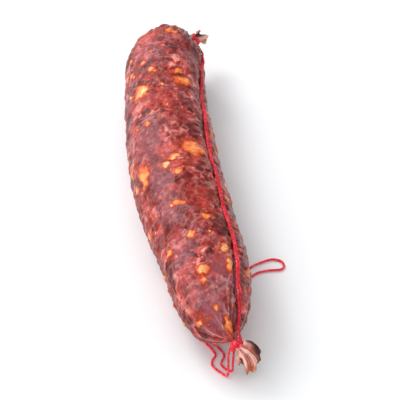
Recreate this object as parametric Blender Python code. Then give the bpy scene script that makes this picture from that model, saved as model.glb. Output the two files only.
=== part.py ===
"""Cured sausage link lying on its side: a filled natural casing tied at both necks with red cotton twine.

The casing is lofted through stations along its centreline, from the gathered tuft at the lower neck to the
one at the upper neck. Its relief (lumps of the filling, pleats at the necks, the groove pressed in by the
twine) is worked out in angle and distance along, so the twine can be laid in the groove.
"""

import math

import bmesh
import bpy
import numpy as np
from mathutils import Vector, noise
from mathutils.bvhtree import BVHTree

MM = 0.001

# Centreline and girth: sideways, along, height above the floor and radius, in millimetres.
STATIONS = np.array((
    (24.3, -80.5, 3.2, 3.1),
    (24.2, -80.6, 6.8, 3.5),
    (23.1, -80.5, 10.7, 2.7),
    (21.2, -80.0, 12.7, 1.5),
    (19.2, -77.2, 14.5, 1.5),
    (18.2, -75.8, 15.1, 3.6),
    (16.8, -73.6, 15.7, 7.0),
    (15.1, -70.4, 16.3, 9.9),
    (13.2, -66.2, 16.8, 11.8),
    (11.8, -60.6, 17.1, 13.3),
    (10.8, -54.8, 17.3, 14.6),
    (9.8, -48.0, 17.3, 15.5),
    (7.8, -36.8, 17.2, 16.1),
    (5.0, -24.8, 17.2, 16.7),
    (2.0, -12.6, 17.2, 17.4),
    (-0.9, 0.0, 17.2, 17.9),
    (-4.1, 19.5, 17.2, 17.6),
    (-6.4, 40.0, 17.1, 17.1),
    (-8.0, 61.2, 16.9, 16.4),
    (-8.1, 75.8, 16.8, 15.9),
    (-6.9, 83.0, 16.6, 15.5),
    (-4.7, 88.8, 16.4, 14.2),
    (-2.3, 92.7, 16.2, 11.5),
    (-0.3, 95.4, 16.0, 7.4),
    (1.1, 97.2, 15.8, 3.6),
    (2.1, 98.4, 15.7, 1.5),
    (4.7, 101.2, 15.5, 1.5),
    (6.1, 102.7, 15.2, 2.4),
    (7.3, 104.0, 14.9, 3.0),
)) * MM
LOWER_NECK, UPPER_NECK = (3, 4), (25, 26)  # the two stations at each neck

SIDES = 48
RING_STEP, RING_STEP_MIN = 3.5 * MM, 1.0 * MM

LUMP_SIZE, LUMP_HEIGHT = 15 * MM, 0.65 * MM
NUB_SIZE, NUB_HEIGHT = 6.5 * MM, 0.3 * MM
NOISE_SHIFT = Vector((3.1, 7.7, 1.3))
PLEATS, PLEAT_DEPTH, PLEAT_REACH = 11, 0.13, 17 * MM
TUFT_FOLDS, TUFT_FOLD_DEPTH = 7, 0.3
TUFT_HOLLOW = ((0.72, 0.5 * MM), (0.36, 1.4 * MM), (0.0, 1.7 * MM))  # share of the rim's width, depth

GROOVE_DEPTH, GROOVE_WIDTH = 0.9 * MM, 3.2 * MM
GAP = 0.35 * MM

# Where the side twine lies: share of the way from the lower neck to the upper one, and degrees from the top.
TWINE_LINE = ((0.0, 36), (0.08, 43), (0.2, 45), (0.35, 46), (0.5, 51),
              (0.65, 58), (0.8, 70), (0.92, 78), (1.0, 72))
TWINE = 1.0 * MM  # thickness of the twine, in all pieces of it
TWINE_STEP, LOOP_STEP = 2.9 * MM, 2.6 * MM  # between the points of a side strand and of the loose loop
STRAND_SPREAD = 0.78 * MM
TIE_REACH = 5.2 * MM  # from the middle of a neck to where the side twine lifts off the casing
TURNS, TURN_PITCH = 3, 0.94 * TWINE
KNOT = np.array((0.8, 1.05, 1.25)) * TWINE  # half its height off the tie, half its width and half its length
LOWER_KNOT_FACES, UPPER_KNOT_FACES = (-0.5, -0.5, 0.7), (-0.2, -0.4, 0.9)

# Loose loop: from the lower tie down to the floor, under the casing, a turn beyond its far side and back.
LOOP_DROP = ((17.3, -79.1, 11.1), (17.0, -80.8, 8.0), (17.0, -82.2, 4.6), (17.0, -82.9, 1.9))
LOOP_OUT = ((16.0, -82.3), (14.2, -80.6), (12.0, -78.4), (10.8, -76.2), (11.2, -74.0), (12.3, -71.6),
            (11.0, -68.6), (8.8, -65.4), (6.6, -62.2), (6.2, -59.0), (9.0, -56.4), (12.6, -53.0),
            (16.2, -46.5), (19.6, -38.5), (22.4, -30.5), (25.6, -24.0), (30.4, -20.4), (35.2, -18.6))
LOOP_BACK = ((38.6, -20.0), (39.4, -22.6), (37.6, -24.6), (34.4, -24.8), (29.6, -26.0), (25.4, -30.0),
             (22.2, -38.0), (19.0, -46.0), (15.6, -53.0), (12.6, -57.6), (10.4, -60.2), (9.8, -62.6),
             (11.8, -65.8), (14.2, -68.8), (15.6, -71.6), (15.0, -74.0), (14.3, -76.0), (15.4, -78.2),
             (17.4, -79.7))
LOOP_RISE = ((18.7, -80.6, 1.9), (18.7, -80.2, 4.4), (18.9, -79.2, 7.6), (19.2, -77.2, 10.2))


def material(name, hex_colour, roughness):
    """Plain surface of that colour."""
    made = bpy.data.materials.new(name)
    made.use_nodes = True
    shader = made.node_tree.nodes["Principled BSDF"]
    channels = [int(hex_colour[i:i + 2], 16) / 255 for i in (0, 2, 4)]
    linear = [c / 12.92 if c <= 0.04045 else ((c + 0.055) / 1.055) ** 2.4 for c in channels]
    shader.inputs["Base Color"].default_value = (*linear, 1)
    shader.inputs["Roughness"].default_value = roughness
    made.diffuse_color = (*linear, 1)
    return made


def smooth(t):
    """Ease from 0 to 1."""
    t = np.clip(t, 0, 1)
    return t * t * (3 - 2 * t)


def through(knots, values, at):
    """Smooth curve through the values that doesn't swing past them."""
    step = np.diff(knots)
    slope = np.diff(values, axis=0) / step[:, None]
    before, after = slope[:-1], slope[1:]
    same = before * after > 0
    inner = np.where(same, 2 * before * after / np.where(same, before + after, 1), 0)
    lean = np.concatenate([slope[:1], inner, slope[-1:]])
    i = np.clip(np.searchsorted(knots, at, side="right") - 1, 0, len(knots) - 2)
    h = step[i][:, None]
    t = (at - knots[i])[:, None] / h
    return ((2 * t**3 - 3 * t**2 + 1) * values[i] + (t**3 - 2 * t**2 + t) * h * lean[i]
            + (3 * t**2 - 2 * t**3) * values[i + 1] + (t**3 - t**2) * h * lean[i + 1])


STATION_AT = np.concatenate([[0], np.cumsum(np.linalg.norm(np.diff(STATIONS[:, :3], axis=0), axis=1))])
LOWER_AT = STATION_AT[list(LOWER_NECK)].mean()
UPPER_AT = STATION_AT[list(UPPER_NECK)].mean()


def ring_places():
    """Distances along the centreline at which the casing gets a ring, closer where it is thin."""
    places = [0.0]
    while places[-1] < STATION_AT[-1]:
        radius = through(STATION_AT, STATIONS, np.array(places[-1:]))[0, 3]
        places.append(places[-1] + min(RING_STEP, max(RING_STEP_MIN, 0.28 * radius)))
    return np.array(places) * STATION_AT[-1] / places[-1]


def frames(places):
    """Centre, radius, and the unit vectors along, up and to the right at each place."""
    values = through(STATION_AT, STATIONS, places)
    centre, radius = values[:, :3], values[:, 3]
    along = np.gradient(through(STATION_AT, STATIONS, places)[:, :3], places, axis=0)
    along /= np.linalg.norm(along, axis=1)[:, None]
    up = np.zeros_like(along)
    middle = int(np.argmin(np.abs(centre[:, 1])))
    for order in (range(middle, len(places)), range(middle, -1, -1)):
        carried = np.array((0.0, 0.0, 1.0))
        for i in order:
            carried = carried - along[i] * (carried @ along[i])
            carried /= np.linalg.norm(carried)
            up[i] = carried
    return centre, radius, along, up, np.cross(along, up)


def twine_angle(place):
    """Angle from the top, in radians, at which the side twine lies there."""
    share = np.atleast_1d((place - LOWER_AT) / (UPPER_AT - LOWER_AT))
    knots, degrees = np.array(TWINE_LINE).T
    return np.radians(through(knots, degrees[:, None], np.clip(share, 0, 1))[:, 0])


def relief(point, place, angle, radius):
    """How far the casing stands out from its plain round form there, in metres."""
    body = smooth((place - LOWER_AT) / (16 * MM)) * smooth((UPPER_AT - place) / (12 * MM))
    at = Vector(point)
    out = LUMP_HEIGHT * noise.noise(at / LUMP_SIZE + NOISE_SHIFT) * body
    out += NUB_HEIGHT * noise.noise(at / NUB_SIZE - NOISE_SHIFT) * body
    from_neck = min(abs(place - LOWER_AT), abs(place - UPPER_AT))
    in_tuft = place < LOWER_AT or place > UPPER_AT
    if in_tuft:
        folds = math.cos(TUFT_FOLDS * angle + 0.8 * math.sin(2 * angle))
        out += radius * TUFT_FOLD_DEPTH * smooth((from_neck - 2.2 * MM) / (6 * MM)) * folds
    else:
        ridge = 1 - 2 * abs(math.sin(PLEATS * angle / 2 + 0.5 * math.sin(3 * angle)))
        fade = smooth((from_neck - 2.0 * MM) / (3 * MM)) * (1 - smooth(from_neck / PLEAT_REACH))
        out += radius * PLEAT_DEPTH * fade * ridge
        off = radius * math.remainder(angle - float(twine_angle(place)[0]), 2 * math.pi)
        out -= GROOVE_DEPTH * body * math.exp(-((off / GROOVE_WIDTH) ** 2))
    return out


def mesh_object(name, points, faces, surface):
    """Object with that closed mesh, shaded smooth."""
    mesh = bpy.data.meshes.new(name)
    mesh.from_pydata([tuple(p) for p in points], [], faces)
    mesh.materials.append(surface)
    mesh.shade_smooth()
    made = bpy.data.objects.new(name, mesh)
    bpy.context.scene.collection.objects.link(made)
    return made


def casing(surface):
    """The filled casing with both necks and tufts, as one closed loft."""
    places = ring_places()
    centre, radius, along, up, right = frames(places)
    rings = []
    for i, place in enumerate(places):
        ring = []
        for j in range(SIDES):
            angle = 2 * math.pi * j / SIDES
            out = math.cos(angle) * up[i] + math.sin(angle) * right[i]
            point = centre[i] + radius[i] * out
            point = point + relief(point, place, angle, radius[i]) * out
            point[2] = max(point[2], 0)
            ring.append(point)
        rings.append(ring)

    def hollow(ring, middle, inward):
        """Rings that close a tuft with a shallow hollow, from its rim to its pole."""
        steps = [[middle + (p - middle) * share + inward * deep for p in ring] for share, deep in TUFT_HOLLOW]
        return steps[:-1], steps[-1][0]

    low, low_pole = hollow(rings[0], centre[0], along[0])
    high, high_pole = hollow(rings[-1], centre[-1], -along[-1])
    rings = low[::-1] + rings + high
    points = [p for ring in rings for p in ring] + [low_pole, high_pole]
    faces = []
    for i in range(len(rings) - 1):
        for j in range(SIDES):
            k = (j + 1) % SIDES
            faces.append((i * SIDES + j, i * SIDES + k, (i + 1) * SIDES + k, (i + 1) * SIDES + j))
    last = (len(rings) - 1) * SIDES
    for j in range(SIDES):
        k = (j + 1) % SIDES
        faces.append((len(points) - 2, k, j))
        faces.append((len(points) - 1, last + j, last + k))
    return mesh_object("casing", points, faces, surface)


def evenly(points, step):
    """Points at equal distances along a smooth line through the given ones."""
    points = np.array(points)
    at = np.concatenate([[0], np.cumsum(np.linalg.norm(np.diff(points, axis=0), axis=1))])
    fine = through(at, points, np.linspace(0, at[-1], 40 * len(points)))
    for _ in range(12):
        fine[1:-1] = (fine[:-2] + 2 * fine[1:-1] + fine[2:]) / 4
    run = np.concatenate([[0], np.cumsum(np.linalg.norm(np.diff(fine, axis=0), axis=1))])
    even = np.linspace(0, run[-1], max(2, round(run[-1] / step)) + 1)
    return np.stack([np.interp(even, run, fine[:, axis]) for axis in range(3)], -1)


def tube(name, points, thickness, surface):
    """Round tube of that thickness through the points, closed at both ends."""
    curve = bpy.data.curves.new(name, "CURVE")
    curve.dimensions = "3D"
    curve.bevel_depth = thickness / 2
    curve.bevel_resolution = 2
    curve.use_fill_caps = True
    spline = curve.splines.new("POLY")
    spline.points.add(len(points) - 1)
    for spot, point in zip(spline.points, points):
        spot.co = (*point, 1)
    curve.materials.append(surface)
    made = bpy.data.objects.new(name, curve)
    bpy.context.scene.collection.objects.link(made)
    return made


def clear_of(tree, points, distance):
    """The points, moved off the surface where they are nearer to it than that."""
    moved = []
    for point in points:
        spot = Vector(point)
        for _ in range(3):
            near, normal, _, far = tree.find_nearest(spot)
            inside = (spot - near).dot(normal) < 0
            if inside or far < distance:
                spot = near + normal * distance
        moved.append(np.array(spot))
    return np.array(moved)


def side_strand(name, body_tree, shift, surface):
    """One strand of the side twine, laid in the casing's groove from tie to tie."""
    places = np.linspace(LOWER_AT + TIE_REACH, UPPER_AT - TIE_REACH, 120)
    centre, radius, along, up, right = frames(places)
    line = []
    for i, place in enumerate(places):
        angle = float(twine_angle(place)[0]) + shift / radius[i]
        out = math.cos(angle) * up[i] + math.sin(angle) * right[i]
        line.append(centre[i] + (radius[i] + 1.0 * MM) * out)
    seated = []
    for point in line:
        near, normal, _, _ = body_tree.find_nearest(Vector(point))
        seated.append(np.array(near + normal * (TWINE / 2 + GAP)))
    points = evenly(seated, TWINE_STEP)
    return tube(name, clear_of(body_tree, points, TWINE / 2 + GAP), TWINE, surface)


def tie(name, neck, knot_faces, surface):
    """Close turns of twine round a neck and the knot on them, as one solid."""
    middle = STATIONS[list(neck), :3].mean(axis=0)
    axis = Vector(STATIONS[neck[1], :3] - STATIONS[neck[0], :3]).normalized()
    inner = STATIONS[neck[0], 3] + GAP + 0.05 * MM
    half = TURNS * TURN_PITCH / 2
    outline = [(-half, inner)]
    for turn in range(TURNS):
        for k in range(5):
            lean = math.pi * (k + 0.5) / 5
            place = TURN_PITCH * (turn + 0.5 - 0.5 * math.cos(lean)) - half
            outline.append((place, inner + TWINE * (0.35 + 0.65 * math.sin(lean))))
    outline.append((half, inner))
    sides = 20
    side = Vector(knot_faces)
    side = (side - axis * side.dot(axis)).normalized()
    across = axis.cross(side)
    points, faces = [], []
    for j in range(sides):
        turn = 2 * math.pi * j / sides
        out = side * math.cos(turn) + across * math.sin(turn)
        points += [Vector(middle) + axis * a + out * r for a, r in outline]
    n = len(outline)
    for j in range(sides):
        k = (j + 1) % sides
        for i in range(n):
            m = (i + 1) % n
            faces.append((j * n + i, k * n + i, k * n + m, j * n + m))
    wound = mesh_object(name, points, faces, surface)
    loft = bmesh.new()
    loft.from_mesh(wound.data)
    bmesh.ops.recalc_face_normals(loft, faces=loft.faces)
    loft.to_mesh(wound.data)
    loft.free()

    seat = Vector(middle) + side * (inner + TWINE)
    ball = bpy.data.meshes.new(name + " knot")
    shape = bmesh.new()
    bmesh.ops.create_uvsphere(shape, u_segments=12, v_segments=8, radius=1.0)
    for vertex in shape.verts:
        spot = vertex.co
        vertex.co = seat + side * spot.x * KNOT[0] + across * spot.y * KNOT[1] + axis * spot.z * KNOT[2]
    shape.to_mesh(ball)
    shape.free()
    ball.materials.append(surface)
    knot = bpy.data.objects.new(name + " knot", ball)
    bpy.context.scene.collection.objects.link(knot)
    knot.hide_render = True
    knot.display_type = "WIRE"
    join = wound.modifiers.new("knot", "BOOLEAN")
    join.operation = "UNION"
    join.solver = "EXACT"
    join.object = knot
    return wound


def loose_loop(name, surface):
    """The hanging loop of twine, lying on the floor and tucked under the casing."""
    floor = TWINE / 2 + 0.15 * MM
    route = [np.array(p) * MM for p in LOOP_DROP]
    route += [np.array((x * MM, y * MM, floor)) for x, y in LOOP_OUT + LOOP_BACK]
    route += [np.array(p) * MM for p in LOOP_RISE]
    points = evenly(route, LOOP_STEP)
    points[:, 2] = np.maximum(points[:, 2], floor)
    return tube(name, points, TWINE, surface)


for old in list(bpy.data.objects):
    bpy.data.objects.remove(old)

cured_casing = material("cured casing", "A05A54", 0.42)
red_twine = material("red cotton twine", "C8404A", 0.85)

body = casing(cured_casing)
tree = BVHTree.FromPolygons([v.co for v in body.data.vertices], [p.vertices for p in body.data.polygons])
side_strand("side_twine_inner", tree, -STRAND_SPREAD, red_twine)
side_strand("side_twine_outer", tree, STRAND_SPREAD, red_twine)
tie("lower_tie", LOWER_NECK, LOWER_KNOT_FACES, red_twine)
tie("upper_tie", UPPER_NECK, UPPER_KNOT_FACES, red_twine)
loose_loop("loose_loop", red_twine)
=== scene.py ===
# %% [markdown]
# # A cured sausage link tied with red twine
#
# The link is coarse chopped meat and fat with paprika, filled into a natural casing and dried. Drying pulls
# the casing tight over the filling, so every piece of fat under it shows as a soft bump and the ends gather
# into pleats. One length of red cotton twine ties both necks, runs along the hollow side of the bend and
# leaves a loose loop to hang the link by.
#
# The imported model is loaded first. It is the frame that every piece here is fitted to.

import math

import bmesh
import bpy
import numpy as np
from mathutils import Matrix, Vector, noise
from mathutils.bvhtree import BVHTree


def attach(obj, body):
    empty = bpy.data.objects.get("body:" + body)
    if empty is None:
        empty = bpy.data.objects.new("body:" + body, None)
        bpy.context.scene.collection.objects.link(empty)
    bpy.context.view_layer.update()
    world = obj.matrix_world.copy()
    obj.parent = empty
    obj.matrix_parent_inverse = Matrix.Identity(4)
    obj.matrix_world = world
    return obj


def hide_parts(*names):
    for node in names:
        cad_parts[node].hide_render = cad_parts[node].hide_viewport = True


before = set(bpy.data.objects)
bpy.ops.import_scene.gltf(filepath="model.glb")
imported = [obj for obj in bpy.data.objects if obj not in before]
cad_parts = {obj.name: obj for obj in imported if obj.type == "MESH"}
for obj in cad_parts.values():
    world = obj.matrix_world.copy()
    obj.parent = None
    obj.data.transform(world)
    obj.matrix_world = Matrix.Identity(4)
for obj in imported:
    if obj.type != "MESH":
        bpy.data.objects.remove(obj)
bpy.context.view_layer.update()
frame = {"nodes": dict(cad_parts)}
MM = 0.001
print("nodes:", ", ".join(frame["nodes"]))

# %% [markdown]
# ## A few small helpers
#
# Paint and food colours are read off as sRGB hex values, while shaders work in linear light, so one function
# turns them. Another adds a node, sets its properties and fills its sockets, each with a value or with the
# socket that feeds it, and hands back the socket that the next node needs. The last two put an object in the
# scene and start a material.


# %% Colour and node helpers
def linear(hex_colour):
    """The sRGB hex value as linear red, green, blue and a full alpha."""
    channels = [int(hex_colour[i:i + 2], 16) / 255 for i in (0, 2, 4)]
    return (*[c / 12.92 if c <= 0.04045 else ((c + 0.055) / 1.055) ** 2.4 for c in channels], 1)


def feed(tree, node, sockets):
    """Fills the node's sockets, each with a value or with the socket that feeds it."""
    for key, value in sockets.items():
        usable = [s for s in node.inputs if s.enabled]
        socket = usable[key] if isinstance(key, int) else next(s for s in usable if s.name == key)
        if isinstance(value, bpy.types.NodeSocket):
            tree.links.new(value, socket)
        else:
            socket.default_value = value


def add(tree, kind, sockets=None, out=None, **settings):
    """Adds a node and gives the output named out, or its first one that is in use."""
    made = tree.nodes.new(kind)
    for name, value in settings.items():
        setattr(made, name, value)
    feed(tree, made, sockets or {})
    return next(s for s in made.outputs if s.enabled and out in (None, s.name))


def placed(name, data):
    """Object of the data, in the scene."""
    made = bpy.data.objects.new(name, data)
    bpy.context.scene.collection.objects.link(made)
    return made


def new_material(name):
    """Material, its node tree and its shader."""
    made = bpy.data.materials.new(name)
    made.use_nodes = True
    return made, made.node_tree, made.node_tree.nodes["Principled BSDF"]


EASED = {"interpolation_type": "SMOOTHSTEP"}

# %% [markdown]
# ## Camera
#
# The photograph looks down at the link by about 42 degrees from in front of its lower neck, through a long
# lens. A link alone is a small thing in a wide picture, so the lens is longer still and the link fills the
# frame, seen from the same direction and distance.

# %% Set the camera
ELEVATION = math.radians(42)
DISTANCE = 1.05
LENS = 240
LOOK_AT = Vector((6.4, -1.6, 16.7)) * MM

back = Vector((0, -math.cos(ELEVATION), math.sin(ELEVATION)))
camera = placed("camera", bpy.data.cameras.new("camera"))
bpy.context.scene.camera = camera
camera.data.lens = LENS
camera.location = LOOK_AT + back * DISTANCE
camera.rotation_mode = "QUATERNION"
camera.rotation_quaternion = (-back).to_track_quat("-Z", "Y")
camera.data.clip_start, camera.data.clip_end = 0.05, 20
bpy.context.scene.view_settings.view_transform = "Standard"
print("camera", [round(c, 3) for c in camera.location], "lens", LENS, "mm")

# %% [markdown]
# ## Floor and light
#
# Food on a white sweep is lit by one broad soft light above and behind it, so that a sheen runs along its
# top, and by a paler one from the front, so that its near side keeps its colour. Round both is a white dome,
# brightest high on the left, which gives the link its soft shadow to the right. The floor is plain and almost
# white.

# %% Floor and lights
FLOOR_WHITE = "F2F4F6"
FLOOR_HALF = 3
KEY = {"place": (-0.40, 0.42, 0.56), "size": 0.34, "watts": 3.2}
FILL = {"place": (-0.16, -0.86, 0.52), "size": 0.8, "watts": 2.2}
DOME_TOWARDS = (-0.55, 0.10, 0.83)
DOME_DIM, DOME_BRIGHT, DOME_EDGE = 0.28, 1.16, -0.2


def soft_light(name, place, size, watts):
    """Square softbox aimed at the link."""
    lamp = bpy.data.lights.new(name, "AREA")
    lamp.shape = "SQUARE"
    lamp.size = size
    lamp.energy = watts
    holder = placed(name, lamp)
    holder.location = place
    holder.rotation_mode = "QUATERNION"
    holder.rotation_quaternion = (LOOK_AT - Vector(place)).to_track_quat("-Z", "Y")


soft_light("key", **KEY)
soft_light("fill", **FILL)
world = bpy.data.worlds.new("studio")
bpy.context.scene.world = world
world.use_nodes = True
sky = world.node_tree
seen = add(sky, "ShaderNodeTexCoord", out="Generated")
facing = add(sky, "ShaderNodeVectorMath", {0: seen, 1: DOME_TOWARDS}, operation="DOT_PRODUCT")
glow = add(sky, "ShaderNodeMapRange", {"Value": facing, "From Min": DOME_EDGE, "From Max": 1.0,
                                       "To Min": DOME_DIM, "To Max": DOME_BRIGHT})
feed(sky, sky.nodes["Background"], {"Color": (1, 1, 1, 1), "Strength": glow})

corners = [(x * FLOOR_HALF, y * FLOOR_HALF, 0) for x, y in ((-1, -1), (1, -1), (1, 1), (-1, 1))]
floor_mesh = bpy.data.meshes.new("floor")
floor_mesh.from_pydata(corners, [], [(0, 1, 2, 3)])
floor = placed("floor", floor_mesh)
paper, paper_tree, paper_shader = new_material("matt white paper sweep")
feed(paper_tree, paper_shader, {"Base Color": linear(FLOOR_WHITE), "Roughness": 0.9,
                                "Specular IOR Level": 0.1})
floor_mesh.materials.append(paper)
print("lights:", KEY["watts"], "and", FILL["watts"], "watts, dome from", DOME_DIM, "to", DOME_BRIGHT)

# %% [markdown]
# ## The link's form
#
# The casing follows a centreline given by stations: sideways, along, height and radius, the same ones that
# the solids are lofted through. A curve that never swings past its stations joins them. Every piece below
# asks it where the surface is, by the distance from the lower neck and the angle from the top.

# %% Stations and the curve through them
STATIONS = np.array((
    (24.3, -80.5, 3.2, 3.1), (24.2, -80.6, 6.8, 3.5), (23.1, -80.5, 10.7, 2.7), (21.2, -80.0, 12.7, 1.5),
    (19.2, -77.2, 14.5, 1.5), (18.2, -75.8, 15.1, 3.6), (16.8, -73.6, 15.7, 7.0), (15.1, -70.4, 16.3, 9.9),
    (13.2, -66.2, 16.8, 11.8), (11.8, -60.6, 17.1, 13.3), (10.8, -54.8, 17.3, 14.6), (9.8, -48.0, 17.3, 15.5),
    (7.8, -36.8, 17.2, 16.1), (5.0, -24.8, 17.2, 16.7), (2.0, -12.6, 17.2, 17.4), (-0.9, 0.0, 17.2, 17.9),
    (-4.1, 19.5, 17.2, 17.6), (-6.4, 40.0, 17.1, 17.1), (-8.0, 61.2, 16.9, 16.4), (-8.1, 75.8, 16.8, 15.9),
    (-6.9, 83.0, 16.6, 15.5), (-4.7, 88.8, 16.4, 14.2), (-2.3, 92.7, 16.2, 11.5), (-0.3, 95.4, 16.0, 7.4),
    (1.1, 97.2, 15.8, 3.6), (2.1, 98.4, 15.7, 1.5), (4.7, 101.2, 15.5, 1.5), (6.1, 102.7, 15.2, 2.4),
    (7.3, 104.0, 14.9, 3.0),
)) * MM
LOWER_NECK, UPPER_NECK = (3, 4), (25, 26)


def smooth(t):
    """Ease from 0 to 1."""
    t = np.clip(t, 0, 1)
    return t * t * (3 - 2 * t)


def rise(at, start, length):
    """Ease from 0 at the start to 1 a length further."""
    return smooth((at - start) / length)


def hill(off, width, power=2):
    """1 in the middle, falling off to either side over about the width."""
    return np.exp(-((off / width) ** power))


def through(knots, values, at):
    """Smooth curve through the values that doesn't swing past them."""
    step = np.diff(knots)
    slope = np.diff(values, axis=0) / step[:, None]
    before, after = slope[:-1], slope[1:]
    same = before * after > 0
    inner = np.where(same, 2 * before * after / np.where(same, before + after, 1), 0)
    lean = np.concatenate([slope[:1], inner, slope[-1:]])
    i = np.clip(np.searchsorted(knots, at, side="right") - 1, 0, len(knots) - 2)
    h = step[i][:, None]
    t = (at - knots[i])[:, None] / h
    return ((2 * t**3 - 3 * t**2 + 1) * values[i] + (t**3 - 2 * t**2 + t) * h * lean[i]
            + (3 * t**2 - 2 * t**3) * values[i + 1] + (t**3 - t**2) * h * lean[i + 1])


def run_of(points):
    """Distance along the points to each of them."""
    return np.concatenate([[0], np.cumsum(np.linalg.norm(np.diff(points, axis=0), axis=1))])


def evenly(points, step, rounding=12):
    """Points at equal distances along a smooth line through the given ones."""
    points = np.array(points)
    at = run_of(points)
    fine = through(at, points, np.linspace(0, at[-1], 40 * len(points)))
    for _ in range(rounding):
        fine[1:-1] = (fine[:-2] + 2 * fine[1:-1] + fine[2:]) / 4
    run = run_of(fine)
    even = np.linspace(0, run[-1], max(2, round(run[-1] / step)) + 1)
    return np.stack([np.interp(even, run, fine[:, axis]) for axis in range(3)], -1)


STATION_AT = run_of(STATIONS[:, :3])
LOWER_AT = STATION_AT[list(LOWER_NECK)].mean()
UPPER_AT = STATION_AT[list(UPPER_NECK)].mean()


def frames(places):
    """Centre, radius, and the unit vectors along, up and to the right at each place."""
    values = through(STATION_AT, STATIONS, places)
    centre, radius = values[:, :3], values[:, 3]
    along = np.gradient(centre, places, axis=0)
    along /= np.linalg.norm(along, axis=1)[:, None]
    up = np.zeros_like(along)
    middle = int(np.argmin(np.abs(centre[:, 1])))
    for order in (range(middle, len(places)), range(middle, -1, -1)):
        carried = np.array((0.0, 0.0, 1.0))
        for i in order:
            carried = carried - along[i] * (carried @ along[i])
            carried /= np.linalg.norm(carried)
            up[i] = carried
    return centre, radius, along, up, np.cross(along, up)


print("neck to neck %.0f mm, thickest %.1f mm" % ((UPPER_AT - LOWER_AT) / MM, 2 * STATIONS[:, 3].max() / MM))

# %% [markdown]
# ## Plied twine
#
# Cotton twine is three yarns twisted round each other. A round tube with a bump texture would look like wire,
# and modelling each turn by hand would never end, so Geometry Nodes lay three yarns round any path: the path
# is cut into short even steps and copied three times, each copy is pushed off it in a direction that turns
# with the distance along, and a small circle is swept along the result.

# %% Geometry Nodes: twist yarns round a path
TWINE = 1.0 * MM
TWIST = 2.6 * MM
YARNS = 3
# share of the twine's thickness
YARN_OFFSET, YARN_RADIUS = 0.27, 0.245
YARN_SIDES = 8
PLIED = 0.95 * TWINE


def new_tree(name, sockets):
    """Geometry Nodes tree with a geometry input, the named inputs and a geometry output."""
    tree = bpy.data.node_groups.new(name, "GeometryNodeTree")
    tree.interface.new_socket("Geometry", in_out="INPUT", socket_type="NodeSocketGeometry")
    for label, kind in sockets:
        tree.interface.new_socket(label, in_out="INPUT", socket_type=kind)
    tree.interface.new_socket("Geometry", in_out="OUTPUT", socket_type="NodeSocketGeometry")
    return tree


def finished(tree, geometry, finish):
    """The tree, ended in smooth shading, real geometry and its material."""
    shaded = add(tree, "GeometryNodeSetShadeSmooth", {"Geometry": geometry})
    real = add(tree, "GeometryNodeRealizeInstances", {"Geometry": shaded})
    done = add(tree, "GeometryNodeSetMaterial", {"Geometry": real, "Material": finish})
    feed(tree, tree.nodes.new("NodeGroupOutput"), {"Geometry": done})
    return tree


def twine_tree():
    """Tree that turns a curve into plied twine."""
    tree = new_tree("plied twine", (("Thickness", "NodeSocketFloat"), ("Pitch", "NodeSocketFloat"),
                                    ("Step", "NodeSocketFloat"), ("Finish", "NodeSocketMaterial")))
    given = tree.nodes.new("NodeGroupInput").outputs
    path = add(tree, "GeometryNodeResampleCurve", {"Curve": given["Geometry"], "Length": given["Step"]},
               mode="LENGTH")
    copies = tree.nodes.new("GeometryNodeDuplicateElements")
    copies.domain = "SPLINE"
    feed(tree, copies, {"Geometry": path, "Amount": YARNS})
    run = add(tree, "GeometryNodeSplineParameter", out="Length")
    turns = add(tree, "ShaderNodeMath", {0: run, 1: given["Pitch"]}, operation="DIVIDE")
    share = add(tree, "ShaderNodeMath", {0: copies.outputs["Duplicate Index"], 1: float(YARNS)},
                operation="DIVIDE")
    both = add(tree, "ShaderNodeMath", {0: turns, 1: share}, operation="ADD")
    angle = add(tree, "ShaderNodeMath", {0: both, 1: 2 * math.pi}, operation="MULTIPLY")
    aside = add(tree, "GeometryNodeInputNormal", out="Normal")
    forward = add(tree, "GeometryNodeInputTangent")
    across = add(tree, "ShaderNodeVectorMath", {0: aside, 1: forward}, operation="CROSS_PRODUCT")
    swung = []
    for direction, wave in ((aside, "COSINE"), (across, "SINE")):
        share = add(tree, "ShaderNodeMath", {0: angle}, operation=wave)
        swung.append(add(tree, "ShaderNodeVectorMath", {0: direction, "Scale": share}, operation="SCALE"))
    out = add(tree, "ShaderNodeVectorMath", {0: swung[0], 1: swung[1]}, operation="ADD")
    offset, radius = [add(tree, "ShaderNodeMath", {0: given["Thickness"], 1: share}, operation="MULTIPLY")
                      for share in (YARN_OFFSET, YARN_RADIUS)]
    push = add(tree, "ShaderNodeVectorMath", {0: out, "Scale": offset}, operation="SCALE")
    laid = add(tree, "GeometryNodeSetPosition", {"Geometry": copies.outputs["Geometry"], "Offset": push})
    ring = add(tree, "GeometryNodeCurvePrimitiveCircle", {"Resolution": YARN_SIDES, "Radius": radius})
    swept = add(tree, "GeometryNodeCurveToMesh", {"Curve": laid, "Profile Curve": ring, "Fill Caps": True})
    return finished(tree, swept, given["Finish"])


def grow(name, source, tree, inputs):
    """Plain mesh object that the tree makes of the source's data. The source and the modifier are removed."""
    holder = placed(name + "_source", source)
    nodes = holder.modifiers.new("grow", "NODES")
    nodes.node_group = tree
    for item in tree.interface.items_tree:
        if item.in_out == "INPUT" and item.name in inputs:
            nodes[item.identifier] = inputs[item.name]
    bpy.context.view_layer.update()
    graph = bpy.context.evaluated_depsgraph_get()
    mesh = bpy.data.meshes.new_from_object(holder.evaluated_get(graph), preserve_all_data_layers=True,
                                           depsgraph=graph)
    bpy.data.objects.remove(holder)
    return placed(name, mesh)


TWINE_TREE = twine_tree()
print("twine tree has", len(TWINE_TREE.nodes), "nodes")

# %% [markdown]
# ## Red cotton twine
#
# The twine is dyed cotton: matt, a little fuzzy, its fibres from dark red to pale where they are worn. Along
# the casing it has soaked up fat, which dulls its red in places, while the ties and the loop stay clean. So
# there are two finishes of one recipe. Fibres are far finer than the picture shows, so the streaks are drawn
# at about a quarter of a millimetre.

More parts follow.
